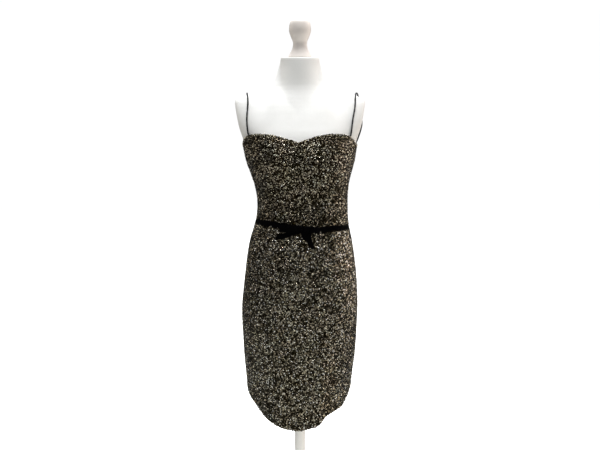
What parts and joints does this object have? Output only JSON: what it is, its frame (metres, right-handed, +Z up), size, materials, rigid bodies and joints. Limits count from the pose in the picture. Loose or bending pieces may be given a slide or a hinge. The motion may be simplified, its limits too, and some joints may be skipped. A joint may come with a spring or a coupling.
{
  "type": "cocktail dress on a dress form",
  "caption": "Sleeveless sequinned cocktail dress with sweetheart neckline, thin straps, black ribbon belt and bow, on a white limbless dress form with pole and round base",
  "frame": {"origin": "on the floor, under the middle of the round base and the pole", "axes": "+Z up, -Y the front of the dress, +X to the right as the front is looked at"},
  "size_m": [0.38, 0.38, 1.6172],
  "materials": {
    "beaded_cloth": "sequinned and beaded",
    "black_velvet": "velvet and satin",
    "white_form": "satin white",
    "white_steel": "white powder coat",
    "zip_metal": "blackened"
  },
  "bodies": {
    "dress_on_form": {"base": "white_steel", "base_socket": "white_steel", "pole": "white_steel", "form_collar": "white_steel", "form_torso": "white_form", "finial": "white_form", "bodice_front": "beaded_cloth", "bodice_back_left": "beaded_cloth", "bodice_back_right": "beaded_cloth", "skirt_front": "beaded_cloth", "skirt_back_left": "beaded_cloth", "skirt_back_right": "beaded_cloth", "belt": "black_velvet", "bow_knot": "black_velvet", "bow_loop_left": "black_velvet", "bow_loop_right": "black_velvet", "bow_tail_left": "black_velvet", "bow_tail_right": "black_velvet", "strap_left": "black_velvet", "strap_right": "black_velvet", "zip_slider": "zip_metal"},
    "zip_tab": {"zip_pull": "zip_metal"}
  },
  "joints": [
    {"name": "zip_pull_hinge", "type": "hinge", "parent": "dress_on_form", "child": "zip_tab", "pos_m": [0.00048, 0.10029, 1.26295], "axis": [1, 0, 0], "range_deg": [-8, 150]}
  ]
}
